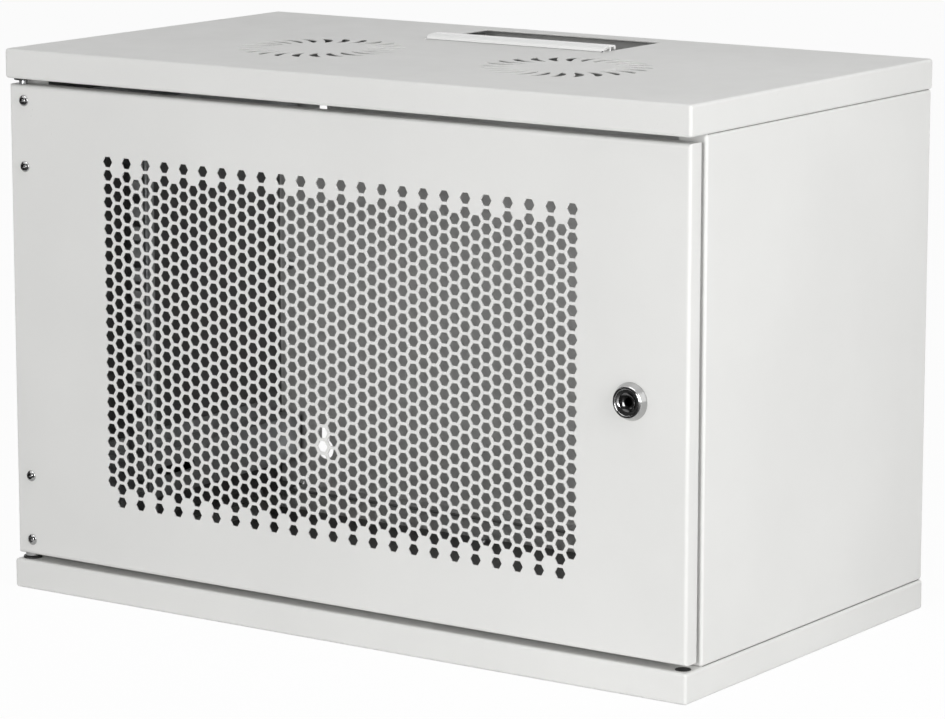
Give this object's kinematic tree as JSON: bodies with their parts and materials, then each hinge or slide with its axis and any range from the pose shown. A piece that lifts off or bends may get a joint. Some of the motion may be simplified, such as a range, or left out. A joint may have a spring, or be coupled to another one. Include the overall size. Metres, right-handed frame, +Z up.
{
  "type": "wall mount network cabinet",
  "caption": "Light grey sheet-steel wall cabinet for 19-inch equipment, with a perforated hinged door, cam lock, roof fan grilles and a sliding cover over its roof cable entry.",
  "frame": {"origin": "middle of the footprint, on the surface that the cabinet stands on", "axes": "+X to the right as seen from the front, +Y from the door to the back panel, +Z up"},
  "size_m": [0.54, 0.3035, 0.3735],
  "materials": {
    "grey_powder_coat": "satin powder coat with a very fine texture",
    "zinc_plate": "satin zinc plate",
    "bright_chrome": "polished",
    "dark_chrome": "polished, darkened in its recess",
    "black_nylon": "matt moulded",
    "pale_plastic": "smooth drawn profile"
  },
  "bodies": {
    "cabinet": {"roof": "grey_powder_coat", "floor": "grey_powder_coat", "left_side_panel": "grey_powder_coat", "right_side_panel": "grey_powder_coat", "back_panel": "grey_powder_coat", "upper_hinge_bush": "black_nylon", "lower_hinge_bush": "black_nylon", "left_rack_rail": "zinc_plate", "right_rack_rail": "zinc_plate", "lower_left_rail_support": "zinc_plate", "upper_left_rail_support": "zinc_plate", "lower_right_rail_support": "zinc_plate", "upper_right_rail_support": "zinc_plate", "rail_bolts": "zinc_plate", "rail_nuts": "zinc_plate", "panel_screws": "zinc_plate", "back_screws": "zinc_plate", "left_cover_guide": "grey_powder_coat", "right_cover_guide": "grey_powder_coat", "floor_blank_plate": "grey_powder_coat", "blank_screws": "zinc_plate", "earth_stud": "zinc_plate", "earth_nut": "zinc_plate"},
    "door": {"door_panel": "grey_powder_coat", "upper_hinge_bracket": "zinc_plate", "lower_hinge_bracket": "zinc_plate", "lower_hinge_pin": "bright_chrome", "hinge_screws": "bright_chrome", "lock_body": "bright_chrome", "lock_nut": "zinc_plate", "upper_hinge_spring": "zinc_plate"},
    "hinge_pin": {"upper_hinge_pin": "zinc_plate"},
    "lock": {"lock_plug": "dark_chrome", "lock_cam": "zinc_plate", "cam_screw": "zinc_plate"},
    "cover": {"cable_cover": "grey_powder_coat", "cover_handle": "pale_plastic"}
  },
  "joints": [
    {"name": "door_hinge", "type": "hinge", "parent": "cabinet", "child": "door", "pos_m": [-0.262, -0.1404, 0.185], "axis": [0, 0, -1], "range_deg": [0, 180]},
    {"name": "lock_turn", "type": "hinge", "parent": "door", "child": "lock", "pos_m": [0.2275, -0.14, 0.185], "axis": [0, 1, 0], "range_deg": [0, 90]},
    {"name": "hinge_pin_slide", "type": "slide", "parent": "door", "child": "hinge_pin", "axis": [0, 0, -1], "range_m": [0, 0.008], "stiffness_N_per_m": 300, "springref_m": -0.012, "deforming": ["upper_hinge_spring"]},
    {"name": "cover_slide", "type": "slide", "parent": "cabinet", "child": "cover", "axis": [0, 1, 0], "range_m": [0, 0.06]}
  ]
}
